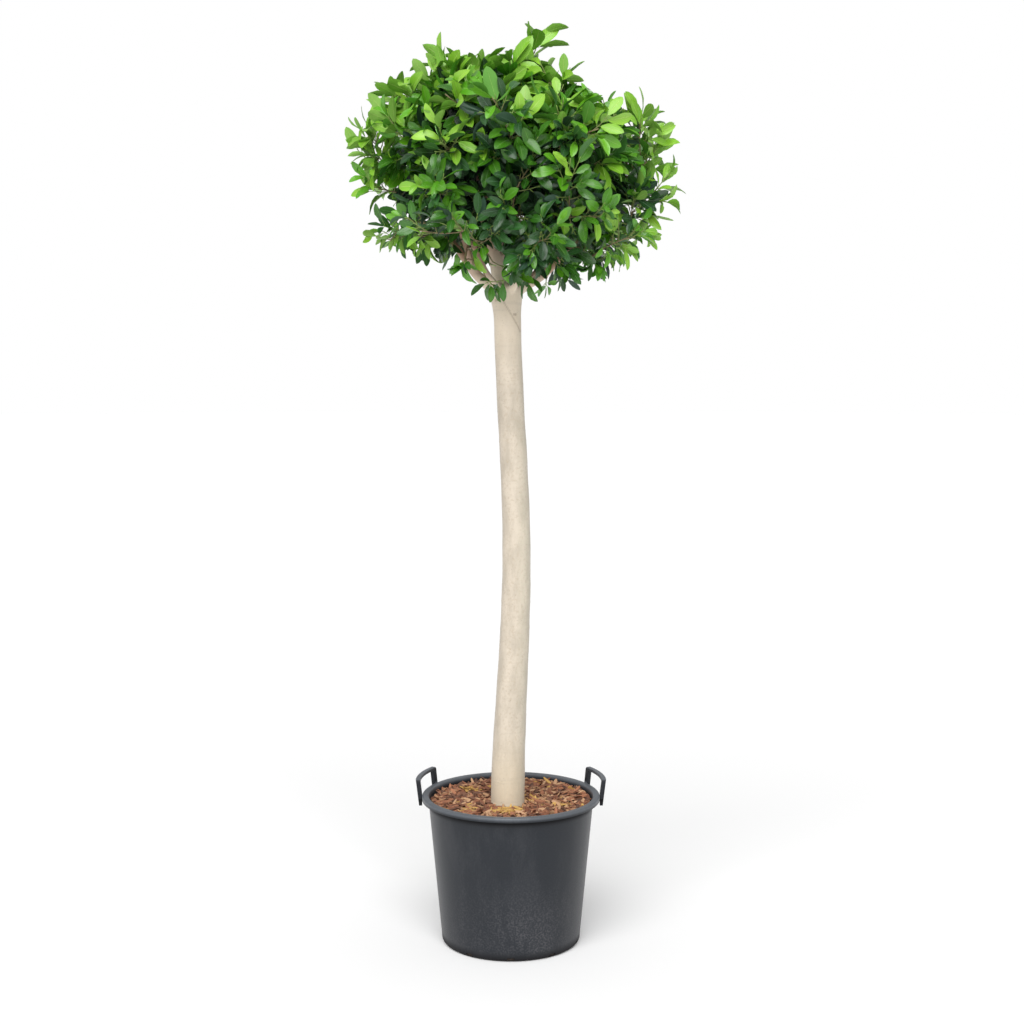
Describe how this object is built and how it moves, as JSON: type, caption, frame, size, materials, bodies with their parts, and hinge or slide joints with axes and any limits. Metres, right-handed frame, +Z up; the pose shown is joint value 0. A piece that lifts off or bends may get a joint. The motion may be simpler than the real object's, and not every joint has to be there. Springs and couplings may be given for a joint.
{
  "type": "potted standard evergreen tree",
  "caption": "Evergreen shrub trained as a standard, with a round leafy crown on a tall bare trunk, in a round nursery pot with loop handles and bark mulch.",
  "frame": {"origin": "centre of the pot's flat underside", "axes": "+Z up along the plant's height, +X to the right of the plant and -Y to its front as it is pictured"},
  "size_m": [0.9233, 0.8105, 2.528],
  "materials": {
    "pot_plastic": "dusty moulded black plastic",
    "soil": "moist potting soil",
    "mulch": "dry chipped bark",
    "bark": "smooth pale bark",
    "leaf": "glossy evergreen leaf"
  },
  "bodies": {
    "root": {"pot": "pot_plastic", "pot_handle_right": "pot_plastic", "pot_handle_left": "pot_plastic", "potting_soil": "soil", "bark_mulch": "mulch", "trunk": "bark", "bough_right": "bark", "bough_back_right": "bark", "bough_back_left": "bark", "bough_left": "bark", "bough_front_left": "bark", "bough_front_right": "bark", "bough_leader": "bark", "bough_upper_left": "bark", "bough_upper_right": "bark", "bough_upper_back_right": "bark", "bough_upper_back_left": "bark", "bough_upper_front_left": "bark", "bough_upper_front_right": "bark", "bough_top_right": "bark", "foliage_lower_right": "leaf", "foliage_lower_back_right": "leaf", "foliage_lower_back_left": "leaf", "foliage_lower_left": "leaf", "foliage_lower_front_left": "leaf", "foliage_lower_front_right": "leaf", "foliage_upper_right": "leaf", "foliage_upper_back_right": "leaf", "foliage_upper_back_left": "leaf", "foliage_upper_left": "leaf", "foliage_upper_front_left": "leaf", "foliage_upper_front_right": "leaf", "foliage_top_right": "leaf", "foliage_top_left": "leaf"}
  },
  "joints": []
}
